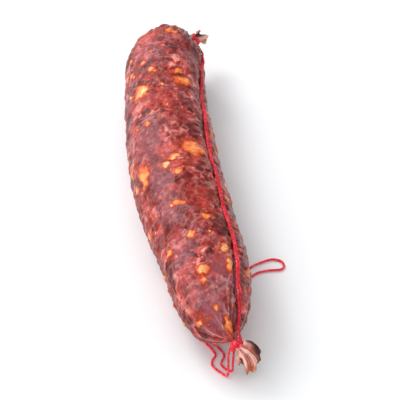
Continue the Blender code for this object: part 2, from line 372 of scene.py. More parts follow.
# %% Twine material
# the darker fibres and most of them; the palest go towards white
SIDE_REDS, CLEAN_REDS, WORN = ("D01630", "F42A40"), ("E81C38", "FF3048"), "FFFFFF"
RED_STOPS = (0.3, 0.52, 1.0)
SOAKED_RED = "B01A20"
STREAK = 0.25 * MM
SOAKED_SIZE = 14 * MM


def cotton_twine(name, reds, soaked_share):
    """Dyed cotton: matt, streaked along the yarn."""
    made, tree, shader = new_material(name)
    place = add(tree, "ShaderNodeTexCoord", out="Object")
    streaks = add(tree, "ShaderNodeTexNoise", {"Vector": place, "Scale": 1 / (4 * STREAK), "Detail": 4.0,
                                               "Roughness": 0.7}, out="Fac")
    ramp = tree.nodes.new("ShaderNodeValToRGB")
    feed(tree, ramp, {"Fac": streaks})
    stops = ramp.color_ramp.elements
    stops.new(0.5)
    for stop, spot, red in zip(stops, RED_STOPS, (*reds, WORN)):
        stop.position = spot
        stop.color = linear(red)
    soaked = add(tree, "ShaderNodeTexNoise", {"Vector": place, "Scale": 1 / SOAKED_SIZE, "Detail": 2.0},
                 out="Fac")
    soaked = add(tree, "ShaderNodeMapRange", {"Value": soaked, "From Min": 0.45, "From Max": 0.65,
                                              "To Max": soaked_share})
    shown = add(tree, "ShaderNodeMix", {"Factor": soaked, "A": ramp.outputs["Color"],
                                        "B": linear(SOAKED_RED)}, data_type="RGBA")
    bump = add(tree, "ShaderNodeBump", {"Height": streaks, "Strength": 0.4, "Distance": 0.08 * MM})
    feed(tree, shader, {"Base Color": shown, "Roughness": 0.8, "Sheen Weight": 0.08,
                        "Specular IOR Level": 0.2, "Normal": bump})
    return made


SIDE_TWINE = cotton_twine("dyed red cotton twine, greasy", SIDE_REDS, 0.65)
CLEAN_TWINE = cotton_twine("dyed red cotton twine, clean", CLEAN_REDS, 0.2)


def lay_twine(name, points, finish=CLEAN_TWINE, step=0.35 * MM):
    """Plied twine along the points, as a plain mesh."""
    curve = bpy.data.curves.new(name, "CURVE")
    curve.dimensions = "3D"
    spline = curve.splines.new("POLY")
    spline.points.add(len(points) - 1)
    for spot, point in zip(spline.points, points):
        spot.co = (*point, 1)
    sizes = {"Thickness": PLIED, "Pitch": TWIST, "Step": step}
    return grow(name, curve, TWINE_TREE, {**sizes, "Finish": finish})


print("two finishes of twine, with", len(SIDE_TWINE.node_tree.nodes), "nodes each")

# %% [markdown]
# ## The loose loop
#
# The twine's hanging loop leaves the lower tie, drops to the floor, wriggles back under the casing and turns
# round beyond its far side. It lies on the floor where it fell, and its route is the one that its solid has.

# %% Loose loop of twine
LOOP_DROP = ((17.3, -79.1, 11.1), (17.0, -80.8, 8.0), (17.0, -82.2, 4.6), (17.0, -82.9, 1.9))
LOOP_OUT = ((16.0, -82.3), (14.2, -80.6), (12.0, -78.4), (10.8, -76.2), (11.2, -74.0), (12.3, -71.6),
            (11.0, -68.6), (8.8, -65.4), (6.6, -62.2), (6.2, -59.0), (9.0, -56.4), (12.6, -53.0),
            (16.2, -46.5), (19.6, -38.5), (22.4, -30.5), (25.6, -24.0), (30.4, -20.4), (35.2, -18.6))
LOOP_BACK = ((38.6, -20.0), (39.4, -22.6), (37.6, -24.6), (34.4, -24.8), (29.6, -26.0), (25.4, -30.0),
             (22.2, -38.0), (19.0, -46.0), (15.6, -53.0), (12.6, -57.6), (10.4, -60.2), (9.8, -62.6),
             (11.8, -65.8), (14.2, -68.8), (15.6, -71.6), (15.0, -74.0), (14.3, -76.0), (15.4, -78.2),
             (17.4, -79.7))
LOOP_RISE = ((18.7, -80.6, 1.9), (18.7, -80.2, 4.4), (18.9, -79.2, 7.6), (19.2, -77.2, 10.2))
CORD_STEP, LAY_STEP = 2.6 * MM, 0.8 * MM

on_floor = TWINE / MM / 2 + 0.15
loop_route = np.array([*LOOP_DROP, *[(x, y, on_floor) for x, y in LOOP_OUT + LOOP_BACK], *LOOP_RISE]) * MM
loop_points = evenly(loop_route, CORD_STEP)
loose_loop = lay_twine("loose_loop_twine", evenly(loop_route, LAY_STEP))
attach(loose_loop, "root")
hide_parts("loose_loop")

# %% [markdown]
# ## Where the fat lies
#
# The biggest pieces of fat show where they do on the real link, so they are listed: distance from the lower
# neck, angle from the top, half the length along and around the link, and tone, from 0 for fat stained deep
# orange by the paprika to 1 for pale yellow. Smaller ones come from a seeded rule further down. The meat
# between them isn't one colour either, so a second list gives its zones, bloomed or lean, and a third the
# patches that are red with paprika fat. The bloomed zones are partly painted sheen, and the lean ones along
# the sides are painted shade.

# %% Listed pieces of fat, zones and stains
FAT = (
    (90.7, 21, 4.0, 5.0, 0.30), (85.7, -8, 1.6, 2.6, 0.55), (131.0, -37, 3.8, 2.9, 0.95),
    (135.9, 25, 2.7, 3.8, 0.15), (142.1, 19, 1.6, 1.9, 0.10), (143.1, -19, 1.9, 1.5, 0.35),
    (149.5, -35, 1.2, 1.5, 0.30), (145.8, -55, 1.6, 1.2, 0.35), (84.6, -53, 5.0, 2.5, 0.35),
    (94.2, -78, 2.6, 1.8, 0.45), (83.0, -21, 1.5, 1.5, 0.80), (77.7, -6, 1.6, 1.8, 0.40),
    (25.0, -13, 2.4, 2.1, 0.60), (20.8, -16, 1.2, 1.3, 0.10), (35.4, 25, 2.7, 2.3, 0.95),
    (27.3, 29, 2.9, 1.6, 0.40), (43.9, -19, 1.4, 1.6, 0.55), (51.3, 9, 1.7, 1.6, 0.10),
    (61.5, -20, 1.4, 1.8, 0.05), (62.0, -88, 2.2, 1.5, 0.40), (41.8, -58, 2.2, 1.4, 0.30),
    (84.3, -75, 2.0, 1.2, 0.45), (67.6, 62, 2.2, 1.4, 0.10), (29.5, 72, 2.4, 2.0, 0.20),
    (5.3, -9, 2.0, 1.4, 0.45), (10.9, -66, 1.5, 1.2, 0.50), (111.7, 72, 2.6, 1.8, 0.30),
    (169.7, 5, 1.8, 2.8, 0.05), (39.4, -100, 2.0, 1.6, 0.40), (105.0, 82, 2.0, 1.5, 0.30),
    (120.0, 178, 4.0, 3.0, 0.50), (70.0, 150, 3.4, 2.6, 0.30), (50.0, -140, 3.0, 3.2, 0.80),
    (100.0, -130, 3.6, 2.6, 0.20), (140.0, 120, 3.8, 2.8, 0.85), (155.0, -110, 2.8, 3.0, 0.40),
    (20.0, 130, 2.4, 2.8, 0.60), (90.0, 120, 2.6, 3.0, 0.10),
)
# the same, with 1 where a greyish bloom lies on the casing, partly painted sheen, and -1 where the meat is
# leaner and deeper red, which along the sides is painted shade
ZONES = (
    (100.0, -31, 11, 8, 0.85), (75.8, -31, 9, 6, 0.9), (60.1, -40, 7, 6, 1.0), (34.9, -36, 6, 4, 0.9),
    (154.8, -13, 7, 6, 0.7), (20.5, -47, 5, 4, 0.7), (15.0, -38, 4, 3, 0.6), (6.9, -66, 3, 4, 0.8),
    (122.6, 22, 5, 4, 0.4), (119.2, 6, 6, 4, -0.9), (66.0, 2, 14, 5, -0.8), (41.8, 1, 8, 6, -0.7),
    (74.2, -71, 7, 4, -0.7), (26.5, 12, 7, 5, 0.8), (10.4, -51, 3, 5, -0.9), (101.0, 8, 8, 7, -0.8),
    (50.3, -47, 5, 3, -0.7), (12.0, 8, 6, 5, 0.7), (11.0, -22, 6, 5, 0.5), (19.0, 30, 10, 7, 0.9),
    (8.0, -42, 7, 7, 0.8), (160.0, 30, 7, 6, -0.5), (125.0, -62, 12, 5, 0.3), (85.0, -100, 110, 6, -0.8),
    (90.0, 85, 110, 6, -0.7), (60.0, -84, 40, 4, -0.5),
)
# patches where paprika fat has soaked into the meat: distance, angle, half lengths along and around
STAINS = (
    (168.0, -30, 6, 7), (90.0, -62, 9, 4), (63.0, -62, 8, 4), (33.0, 18, 6, 4),
    (12.0, 10, 5, 3), (150.0, -42, 6, 4), (130.0, -10, 5, 5), (84.0, 5, 7, 5),
    (55.0, 18, 7, 4), (22.0, -60, 4, 4),
)
print(len(FAT), "listed pieces of fat,", len(ZONES), "zones,", len(STAINS), "stained patches")

# %% [markdown]
# ## The casing, lofted
#
# The loft lays rings round the centreline, closer where the link narrows, and moves each point in or out by
# what drying and tying did to the casing: broad lumps, pleats that gather at the necks and beside the twine,
# the groove that the twine pressed in and the crease along it. The same noise shapes the solid, so the two
# agree.

# %% Sizes of the lumps, pleats and grooves
LUMP_SIZE, LUMP_HEIGHT = 15 * MM, 0.65 * MM
NUB_SIZE, NUB_HEIGHT = 6.5 * MM, 0.3 * MM
NOISE_SHIFT = Vector((3.1, 7.7, 1.3))
PLEATS, PLEAT_DEPTH = 11, 0.13
FINE_PLEATS, FINE_PLEAT_DEPTH, FINE_PLEAT_TURN = 27, 0.035, 0.14 / MM
SIDE_PLEAT, SIDE_PLEAT_DEPTH = 1.9 * MM, 0.28 * MM
SIDE_PLEAT_ASIDE, SIDE_PLEAT_WIDTH = 4.6 * MM, 2.6 * MM
SHOULDER_PLEAT, SHOULDER_ANGLE, SHOULDER_WIDTH = 0.9 * MM, math.radians(20), 1.2
GROOVE_DEPTH, GROOVE_WIDTH = 0.9 * MM, 3.2 * MM
CREASE_DEPTH, CREASE_WIDTH, CREASE_ASIDE = 0.9 * MM, 0.7 * MM, 1.4 * MM
CREASE_LEAST = 0.25
# how far from a neck each of them comes in or fades out, and over what length
BODY_LOWER, BODY_UPPER = (0, 16 * MM), (0, 12 * MM)
PLEATS_IN, PLEATS_OUT = (2 * MM, 3 * MM), (0, 17 * MM)
SIDE_PLEATS_IN, SIDE_PLEATS_OUT = (3 * MM, 6 * MM), (10 * MM, 16 * MM)
CREASE_IN, CREASE_OUT = (0, 5 * MM), (22 * MM, 35 * MM)
SHOULDER_IN, SHOULDER_OUT, SHOULDER_FROM = (2 * MM, 4 * MM), (8 * MM, 14 * MM), 100 * MM
SLACK_OUT = (20 * MM, 60 * MM)
# share of the way from neck to neck, angle of the side twine from the top in degrees
TWINE_LINE = ((0.0, 36), (0.08, 43), (0.2, 45), (0.35, 46), (0.5, 51), (0.65, 58), (0.8, 70), (0.92, 78),
              (1.0, 72))


def twine_angles(places):
    """Angle from the top, in radians, at which the side twine lies at each place."""
    share = np.clip((places - LOWER_AT) / (UPPER_AT - LOWER_AT), 0, 1)
    knots, degrees = np.array(TWINE_LINE).T
    return np.radians(through(knots, degrees[:, None], share)[:, 0])


def wrap(angle):
    """The angle brought to between minus and plus half a turn."""
    return (angle + math.pi) % (2 * math.pi) - math.pi


def tube_mesh(name, rings, ends, notes, end_notes):
    """Closed mesh of rings of points between two end points, with the notes as attributes."""
    count, sides = rings.shape[:2]
    ring, row = np.arange(count - 1)[:, None] * sides, np.arange(sides)[None]
    beside = (row + 1) % sides
    quads = np.stack([ring + row, ring + beside, ring + sides + beside, ring + sides + row], -1)
    last = (count - 1) * sides
    caps = []
    for j in range(sides):
        k = (j + 1) % sides
        caps += [(count * sides, k, j), (count * sides + 1, last + j, last + k)]
    mesh = bpy.data.meshes.new(name)
    mesh.from_pydata(np.concatenate([rings.reshape(-1, 3), *ends]), [], quads.reshape(-1, 4).tolist() + caps)
    for label, noted in notes.items():
        column = mesh.attributes.new(label, "FLOAT", "POINT")
        column.data.foreach_set("value", np.concatenate([noted.reshape(-1), end_notes]).astype(np.float32))
    return mesh


print("%.1f mm between pleats on the body" % (2 * math.pi * STATIONS[:, 3].max() / PLEATS / MM))

# %% Mark the listed fat, zones and stains
# how far past its edge a piece of fat fades out, and how far it stains the meat, in its half lengths
FAT_HALO, STAIN_HALO = 1.45, 2.5
# how far a ragged edge wanders in millimetres, and the size of its bays
WARPS = ((1.5, 3.4 * MM), (0.9, 1.4 * MM))
WARP_SEED = 5
RAGGED = 2.5


def mark_filling(surface, place, angle, girth):
    """Fat, its tone, stain and zone at every point of the surface."""
    noise.seed_set(WARP_SEED)
    warp = [sum((wander * noise.noise_vector(Vector(point) / bay) for wander, bay in WARPS), Vector())
            for point in surface.reshape(-1, 3)]
    warp = np.array(warp).reshape(surface.shape)

    def apart(far, degrees, half_long, half_round, ragged=1.0):
        """How far off a listed place every point is along and around, in its half lengths."""
        away = place - LOWER_AT - far * MM + ragged * MM * warp[..., 1]
        aside = girth * wrap(angle - math.radians(degrees)) + ragged * MM * warp[..., 0]
        return away / (half_long * MM), aside / (half_round * MM)

    fat, tone, stain, zone = np.zeros((4, *surface.shape[:2]))
    for *listed, paleness in FAT:
        apart_by = np.hypot(*apart(*listed))
        cover = np.clip(1 - apart_by / FAT_HALO, 0, 1)
        tone = np.where(cover > fat, paleness, tone)
        fat = np.maximum(fat, cover)
        stain = np.maximum(stain, np.clip(1 - apart_by / STAIN_HALO, 0, 1))
    for listed in STAINS:
        away, aside = apart(*listed, RAGGED)
        stain = np.maximum(stain, np.exp(-(away**2 + aside**2)))
    for *listed, kind in ZONES:
        away, aside = apart(*listed, RAGGED)
        zone += kind * np.exp(-(away**2 + aside**2))
    return fat, tone, stain, zone


# %% Loft the casing
RINGS, SIDES = 400, 236
# rings lie closer where the link is thinner than this, down to a share of the spacing
FULL_GIRTH, CLOSEST = 11 * MM, 0.3


def ring_places():
    """Places of the rings from neck to neck."""
    probe = np.linspace(LOWER_AT, UPPER_AT, 1500)
    pace = 1 / np.clip(frames(probe)[1] / FULL_GIRTH, CLOSEST, 1)
    pace = np.concatenate([[0], np.cumsum((pace[1:] + pace[:-1]) / 2)])
    return np.interp(np.linspace(0, pace[-1], RINGS), pace, probe)


def loft_casing():
    """Mesh of the casing between the necks, with its relief and the notes that the material reads."""
    places = ring_places()
    centre, radius, along, up, right = frames(places)
    angle = np.linspace(0, 2 * math.pi, SIDES, endpoint=False)[None]
    out = np.cos(angle)[..., None] * up[:, None] + np.sin(angle)[..., None] * right[:, None]
    surface = centre[:, None] + radius[:, None, None] * out
    lumps = np.array([LUMP_HEIGHT * noise.noise(Vector(point) / LUMP_SIZE + NOISE_SHIFT)
                      + NUB_HEIGHT * noise.noise(Vector(point) / NUB_SIZE - NOISE_SHIFT)
                      for point in surface.reshape(-1, 3)]).reshape(RINGS, SIDES)
    place, girth = places[:, None], radius[:, None]
    from_lower, from_upper = place - LOWER_AT, UPPER_AT - place
    from_neck = np.minimum(from_lower, from_upper)

    # where each kind of relief is, from 0 to 1
    body = rise(from_lower, *BODY_LOWER) * rise(from_upper, *BODY_UPPER)
    at_neck = rise(from_neck, *PLEATS_IN) * (1 - rise(from_neck, *PLEATS_OUT))
    off = girth * wrap(angle - twine_angles(places)[:, None])
    beside = hill(off + SIDE_PLEAT_ASIDE, SIDE_PLEAT_WIDTH)
    beside = beside * (1 - rise(from_lower, *SIDE_PLEATS_OUT)) * rise(from_lower, *SIDE_PLEATS_IN)
    low = 1 - rise(from_lower, *CREASE_OUT)
    crease = hill(off + CREASE_ASIDE, CREASE_WIDTH) * (CREASE_LEAST + (1 - CREASE_LEAST) * low)
    shoulder = (from_lower > SHOULDER_FROM) * rise(from_neck, *SHOULDER_IN)
    shoulder = shoulder * (1 - rise(from_neck, *SHOULDER_OUT))
    shoulder = shoulder * hill(wrap(angle - SHOULDER_ANGLE), SHOULDER_WIDTH)

    # folds, from -1 in a valley to 1 on a ridge
    pleat = 1 - 2 * np.abs(np.sin(PLEATS * angle / 2 + 0.5 * np.sin(3 * angle)))
    fine = FINE_PLEATS * angle / 2 + 0.9 * np.sin(2 * angle) + FINE_PLEAT_TURN * place
    fine = 1 - 2 * np.abs(np.sin(fine))
    gathers = 1 - 2 * np.abs(np.sin(math.pi * off / SIDE_PLEAT + 0.7 * np.sin(place / (6 * MM))))

    move = lumps * body + girth * at_neck * (PLEAT_DEPTH * pleat + FINE_PLEAT_DEPTH * fine)
    move += SHOULDER_PLEAT * shoulder * fine
    move += SIDE_PLEAT_DEPTH * beside * gathers
    move -= GROOVE_DEPTH * body * hill(off, GROOVE_WIDTH)
    move -= CREASE_DEPTH * crease * rise(from_lower, *CREASE_IN)
    fat, tone, stain, zone = mark_filling(surface, place, angle, girth)
    # pleat ridges are noted for a painted highlight, pleat valleys and the crease beside the twine for
    # painted shade
    gathered = at_neck * pleat + 1.4 * shoulder * fine + beside * gathers
    pleat_valley_shade = 0.6 * smooth(np.clip(-gathered, 0, 1) * 1.6 - 0.3)
    slack = 1 - rise(from_lower, *SLACK_OUT)
    notes = {"fat": fat, "tone": tone, "body": np.broadcast_to(body, fat.shape),
             "crease": np.maximum(crease, pleat_valley_shade), "pleat": smooth(np.clip(gathered, 0, 1) * 1.6 - 0.4),
             "bloom_and_sheen": np.clip(zone, 0, 1), "lean": np.clip(-zone, 0, 1), "stain": stain,
             "slack": np.broadcast_to(slack, fat.shape)}
    ends = (centre[[0]], centre[[-1]])
    return tube_mesh("casing loft", surface + move[..., None] * out, ends, notes, (0, 0))


casing_loft = loft_casing()
print("casing loft:", len(casing_loft.vertices), "points")

# %% [markdown]
# ## What the filling does to the casing
#
# Minced meat is crumbs of a few millimetres, and each pushes the dry casing out a little. Small bits of fat
# are scattered among them, and the casing itself has fine wrinkles that run together like crazing. All of
# that is too much to place by hand and too solid for a bump texture alone, so Geometry Nodes move the loft's
# points: bits of fat are scattered with a fixed seed, crumbs are a cell pattern with round tops, wrinkles a
# folded noise. What each point got is noted in attributes, which the material reads.

# %% Geometry Nodes: crumbs, bits of fat and wrinkles
FILLING = {"Crumb size": 3.6 * MM, "Crumb height": 0.60 * MM, "Bit spacing": 3.4 * MM, "Bit size": 1.25 * MM,
           "Wrinkle size": 4.8 * MM, "Wrinkle depth": 0.32 * MM, "Seed": 11}
FAT_HEIGHT = 0.22 * MM
BIT_DENSITY = 60000.0
# what is noted of each bit, its least value and its own seed
BIT_NOTES = (("size", 0.25, 3), ("bit tone", 0.0, 5), ("bit strength", 0.15, 8))
WAVE_SIZE, WAVE_REACH = 2.2 * MM, 2.4 * MM
SLACK_SIZE, SLACK_SHARE = 6 * MM, 0.10
NUMBER = {"data_type": "FLOAT"}


def filling_tree():
    """Tree that gives the lofted casing its relief and notes its bits of fat."""
    sockets = [(name, "NodeSocketInt" if name == "Seed" else "NodeSocketFloat") for name in FILLING]
    tree = new_tree("filling under the casing", [*sockets, ("Finish", "NodeSocketMaterial")])
    given = tree.nodes.new("NodeGroupInput").outputs
    place = add(tree, "GeometryNodeInputPosition")
    body, fat, tone, slack = [add(tree, "GeometryNodeInputNamedAttribute", {"Name": name}, **NUMBER)
                              for name in ("body", "fat", "tone", "slack")]

    # the position, swayed so that no outline below is straight or round
    ripple = add(tree, "ShaderNodeTexNoise", {"Vector": place, "Scale": 1 / WAVE_SIZE, "Detail": 2.0},
                 out="Color")
    centred = add(tree, "ShaderNodeVectorMath", {0: ripple, 1: (0.5, 0.5, 0.5)}, operation="SUBTRACT")
    shift = add(tree, "ShaderNodeVectorMath", {0: centred, "Scale": WAVE_REACH}, operation="SCALE")
    wavy = add(tree, "ShaderNodeVectorMath", {0: place, 1: shift}, operation="ADD")

    # bits of fat, and what the nearest of them is like at every point
    bits = add(tree, "GeometryNodeDistributePointsOnFaces",
               {"Mesh": given["Geometry"], "Distance Min": given["Bit spacing"], "Density Max": BIT_DENSITY,
                "Seed": given["Seed"]}, out="Points", distribute_method="POISSON")
    for name, least, seed in BIT_NOTES:
        drawn = add(tree, "FunctionNodeRandomValue", {"Min": least, "Max": 1.0, "Seed": seed}, **NUMBER)
        bits = add(tree, "GeometryNodeStoreNamedAttribute", {"Geometry": bits, "Name": name, "Value": drawn},
                   domain="POINT", **NUMBER)
    nearest = add(tree, "GeometryNodeSampleNearest", {"Geometry": bits, "Sample Position": wavy},
                  domain="POINT")
    bit_place = add(tree, "GeometryNodeSampleIndex", {"Geometry": bits, "Value": place, "Index": nearest},
                    data_type="FLOAT_VECTOR", domain="POINT")
    near = {}
    for name, _, _ in BIT_NOTES:
        noted = add(tree, "GeometryNodeInputNamedAttribute", {"Name": name}, **NUMBER)
        near[name] = add(tree, "GeometryNodeSampleIndex",
                         {"Geometry": bits, "Value": noted, "Index": nearest}, domain="POINT", **NUMBER)
    squared = add(tree, "ShaderNodeMath", {0: near["size"], 1: 2.0}, operation="POWER")
    reach = add(tree, "ShaderNodeMath", {0: squared, 1: given["Bit size"]}, operation="MULTIPLY")
    gap = add(tree, "ShaderNodeVectorMath", {0: wavy, 1: bit_place}, operation="DISTANCE")
    ratio = add(tree, "ShaderNodeMath", {0: gap, 1: reach}, operation="DIVIDE")
    bit = add(tree, "ShaderNodeMapRange", {"Value": ratio, "From Min": 1.6, "From Max": 0.0})
    bit = add(tree, "ShaderNodeMath", {0: bit, 1: near["bit strength"]}, operation="MULTIPLY")
    speck = add(tree, "ShaderNodeMath", {0: bit, 1: body}, operation="MULTIPLY")
    greasy = add(tree, "ShaderNodeMapRange", {"Value": near["bit strength"], "From Min": 0.55,
                                              "From Max": 0.9})
    bit = add(tree, "ShaderNodeMath", {0: speck, 1: greasy}, operation="MULTIPLY")
    listed = add(tree, "ShaderNodeMath", {0: fat, 1: bit}, operation="GREATER_THAN")
    fatty = add(tree, "ShaderNodeMath", {0: fat, 1: bit}, operation="MAXIMUM")
    shade = add(tree, "ShaderNodeMix", {"Factor": listed, "A": near["bit tone"], "B": tone}, **NUMBER)

    # crumbs of mince, and wrinkles where the casing is slack
    crumb_scale, wrinkle_scale = [add(tree, "ShaderNodeMath", {0: 1.0, 1: given[name]}, operation="DIVIDE")
                                  for name in ("Crumb size", "Wrinkle size")]
    mince = {"Vector": wavy, "Scale": crumb_scale, "Smoothness": 0.45, "Randomness": 1.0}
    cells = add(tree, "ShaderNodeTexVoronoi", mince, out="Distance", feature="SMOOTH_F1")
    own_tone = add(tree, "ShaderNodeTexVoronoi", mince, out="Color", feature="SMOOTH_F1")
    own_tone = add(tree, "ShaderNodeSeparateXYZ", {0: own_tone}, out="X")
    crumb = add(tree, "ShaderNodeMapRange", {"Value": cells, "From Min": 0.05, "From Max": 0.75,
                                             "To Min": 1.0, "To Max": 0.0}, **EASED)
    crumb = add(tree, "ShaderNodeMath", {0: crumb, 1: given["Crumb height"]}, operation="MULTIPLY")
    crumb = add(tree, "ShaderNodeMath", {0: crumb, 1: body}, operation="MULTIPLY")
    bump = add(tree, "ShaderNodeMapRange", {"Value": fatty, "From Min": 0.1, "From Max": 0.7,
                                            "To Max": FAT_HEIGHT}, **EASED)
    fold = add(tree, "ShaderNodeTexNoise", {"Vector": wavy, "Scale": wrinkle_scale, "Detail": 1.0}, out="Fac")
    fold = add(tree, "ShaderNodeMath", {0: fold, 1: 0.5}, operation="SUBTRACT")
    fold = add(tree, "ShaderNodeMath", {0: fold}, operation="ABSOLUTE")
    wrinkle = add(tree, "ShaderNodeMapRange", {"Value": fold, "From Min": 0.06, "From Max": 0.0}, **EASED)
    loose = add(tree, "ShaderNodeTexNoise", {"Vector": place, "Scale": 1 / SLACK_SIZE, "Detail": 2.0},
                out="Fac")
    loose = add(tree, "ShaderNodeMath", {0: slack, 1: SLACK_SHARE, 2: loose}, operation="MULTIPLY_ADD")
    loose = add(tree, "ShaderNodeMapRange", {"Value": loose, "From Min": 0.44, "From Max": 0.58})
    wrinkle = add(tree, "ShaderNodeMath", {0: wrinkle, 1: loose}, operation="MULTIPLY")
    raised = add(tree, "ShaderNodeMath", {0: wrinkle, 1: given["Wrinkle depth"]}, operation="MULTIPLY")

    # notes for the material, the move itself, and a floor that stops it
    geometry = given["Geometry"]
    for name, noted in (("speck", speck), ("wrinkle", wrinkle), ("own tone", own_tone), ("shade", shade),
                        ("fatty", fatty)):
        geometry = add(tree, "GeometryNodeStoreNamedAttribute",
                       {"Geometry": geometry, "Name": name, "Value": noted}, domain="POINT", **NUMBER)
    height = add(tree, "ShaderNodeMath", {0: crumb, 1: bump}, operation="ADD")
    height = add(tree, "ShaderNodeMath", {0: height, 1: raised}, operation="ADD")
    normal = add(tree, "GeometryNodeInputNormal", out="Normal")
    move = add(tree, "ShaderNodeVectorMath", {0: normal, "Scale": height}, operation="SCALE")
    geometry = add(tree, "GeometryNodeSetPosition", {"Geometry": geometry, "Offset": move})
    above = add(tree, "ShaderNodeVectorMath", {0: add(tree, "GeometryNodeInputPosition"), 1: (-1, -1, 0)},
                operation="MAXIMUM")
    geometry = add(tree, "GeometryNodeSetPosition", {"Geometry": geometry, "Position": above})
    return finished(tree, geometry, given["Finish"])


FILLING_TREE = filling_tree()
print("filling tree has", len(FILLING_TREE.nodes), "nodes")

# %% [markdown]
# ## Cured meat under a natural casing
#
# What the eye sees is three layers. The meat is maroon, browner where it is lean and redder where paprika fat
# runs between the crumbs. The fat is orange to pale yellow, deeper orange at its rim where the paprika soaked
# in. Over both lies a dry gut casing, thin and a little milky, with a satin sheen that its wrinkles break up.
# A painter would lay such colours one over another, and so does the material: each layer has a colour and a
# share of every point, from a pattern of spots or from the attributes that the relief left. Some layers are
# painted light: sheen in the bloom, highlights on wrinkles, pleat ridges and glinting gristle, and shade in
# hollows, pits, creases, pleat valleys, round the fat and along the sides.

# %% Colours and patterns of the casing
# tone of a crumb, colour
MEAT_TONES = ((0.27, "2A0206"), (0.40, "680D0E"), (0.51, "AC2C24"), (0.62, "CE544C"), (0.75, "F4A096"))
# size in millimetres, share in the tone
CELLS, CLOUDS = (2.4, 0.35), (6.5, 0.60)
# number of the pattern, size of its spots in millimetres, where they start and are full, share, colour
MEAT_LAYERS = (
    (0, 7.5, 0.49, 0.60, 0.80, "620E10"),  # lean pieces
    (1, 10.0, 0.48, 0.61, 0.75, "C03624"),  # paprika fat between the pieces
    # partly painted sheen: the greyish pink of dried skin and the light's sheen on it
    (2, 15.0, 0.50, 0.63, 0.55, "B0565C"),  # bloom: skin dried to a greyish pink
    # painted shade in the hollows between the crumbs
    (3, 4.0, 0.55, 0.66, 0.80, "480808"),  # hollows between the crumbs
    (4, 13.0, 0.48, 0.58, 0.65, "4E0810"),  # whole stretches that dried darker
)
STAIN_LAYER = (12, 3.4, 0.42, 0.58, 0.72, "BE3A20")  # meat reddened by paprika fat
SURFACE_LAYERS = (
    # painted shade in small pits
    (21, 2.2, 0.61, 0.69, 0.75, "3C080A"),  # dark dots
    # partly painted glints: pale specks of gristle and of light
    (22, 2.0, 0.61, 0.71, 0.60, "EC988C"),  # gristle
)
FAT_SPOTS = (11, 2.0, 0.50, 0.64, 0.45, "C84A1C")  # paprika in the fat
# lean meat, painted shade where its zones run along the sides; bloom, partly painted sheen
LEAN_AND_SIDE_SHADE, BLOOM_AND_SHEEN = "941814", "A25C66"
# painted highlight on wrinkle ridges, bits of fat, painted highlight on pleat ridges, painted shade in
# creases
WRINKLE_HIGHLIGHT, SPECK, PLEAT_HIGHLIGHT, CREASE_SHADE = "EAA49C", "DE7E66", "E4BCBC", "3C0A0E"
# how deep in a piece of fat it starts and is full, share, colour
FAT_LAYERS = (
    # partly painted shade: meat stained by the fat and shade round the raised fat
    (0.02, 0.20, 0.65, "84180E"),  # meat stained by the fat
    (0.10, 0.40, 1.00, "DC501A"),  # rim soaked with paprika
)
FAT_ORANGE, FAT_YELLOW = "F68E3C", "FFDC9C"
# size of the grain in millimetres, and what it does: from where to where, least and most
GRAIN = 2.6
BROKEN, UNEVEN, ROUGH = (0.35, 0.6, 0.5, 0.85), (0.3, 0.7, -0.16, 0.16), (0.3, 0.7, 0.20, 0.36)
MARBLING, SKIN_GRAIN, SKIN_RELIEF = 3.0, 2.2, 0.8


